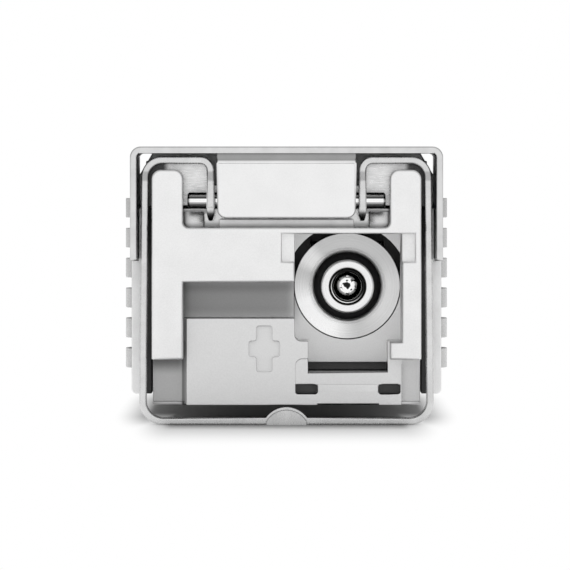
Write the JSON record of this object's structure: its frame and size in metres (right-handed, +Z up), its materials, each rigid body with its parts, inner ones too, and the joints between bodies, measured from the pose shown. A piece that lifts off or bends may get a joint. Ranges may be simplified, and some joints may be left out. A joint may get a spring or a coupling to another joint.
{
  "type": "optical transceiver module",
  "caption": "Pluggable fibre transceiver with a cast housing, an optical port and blank in its nose, a hinged bail latch, a spring collar and a card edge at the rear.",
  "frame": {"origin": "middle of the module's length and width, on the plane under the closed bail", "axes": "+Y from the nose to the card edge, +Z up to the latch side, +X across"},
  "size_m": [0.0146, 0.0564, 0.0122],
  "materials": {
    "cast_housing": "fine grain die cast, dull plated",
    "nose_casting": "satin pearl plated casting",
    "sheet_steel": "bright rolled sheet",
    "blackened_steel": "black oxide on spring sheet",
    "bail_steel": "bright formed strip",
    "spring_steel": "bright stamped spring sheet",
    "turned_steel": "turned, with concentric tool marks",
    "ceramic": "white zirconia ceramic, polished",
    "filter_glass": "coated glass plate",
    "header_metal": "gold plated header with a steel cap",
    "gold_plate": "hard gold plating",
    "flex_film": "amber polyimide film",
    "board_laminate": "green solder mask",
    "chip_resin": "black moulding resin",
    "capacitor_ceramic": "tan ceramic with tinned ends",
    "resistor_film": "dark glazed film with tinned ends",
    "gap_filler": "soft grey-blue gap filler"
  },
  "bodies": {
    "housing": {"housing_base": "cast_housing", "label_cover": "cast_housing", "nose_receptacle": "nose_casting", "latch_hood": "sheet_steel", "osa_clip": "blackened_steel", "emi_collar": "spring_steel", "osa_flange": "turned_steel", "osa_barrel": "turned_steel", "pivot_pin": "turned_steel", "osa_body": "turned_steel", "split_sleeve": "ceramic", "fibre_stub": "ceramic", "wavelength_filter": "filter_glass", "laser_can": "header_metal", "receiver_can": "header_metal", "laser_leads": "gold_plate", "receiver_leads": "gold_plate", "edge_contacts_upper": "gold_plate", "edge_contacts_lower": "gold_plate", "laser_flex": "flex_film", "receiver_flex": "flex_film", "circuit_board": "board_laminate", "driver_chip": "chip_resin", "controller_chip": "chip_resin", "receiver_chip": "chip_resin", "capacitors": "capacitor_ceramic", "resistors": "resistor_film", "thermal_pad": "gap_filler"},
    "bail": {"bail": "bail_steel"},
    "actuator": {"actuator": "bail_steel"}
  },
  "joints": [
    {"name": "bail_hinge", "type": "hinge", "parent": "housing", "child": "bail", "pos_m": [0, -0.02685, 0.00985], "axis": [-1, 0, 0], "range_deg": [0, 90]},
    {"name": "actuator_slide", "type": "slide", "parent": "housing", "child": "actuator", "axis": [0, 1, 0], "range_m": [0, 0.001]}
  ],
  "couplings": [
    {"joint": "bail_hinge", "follows": "actuator_slide", "rad_per_m": 1570.7}
  ]
}
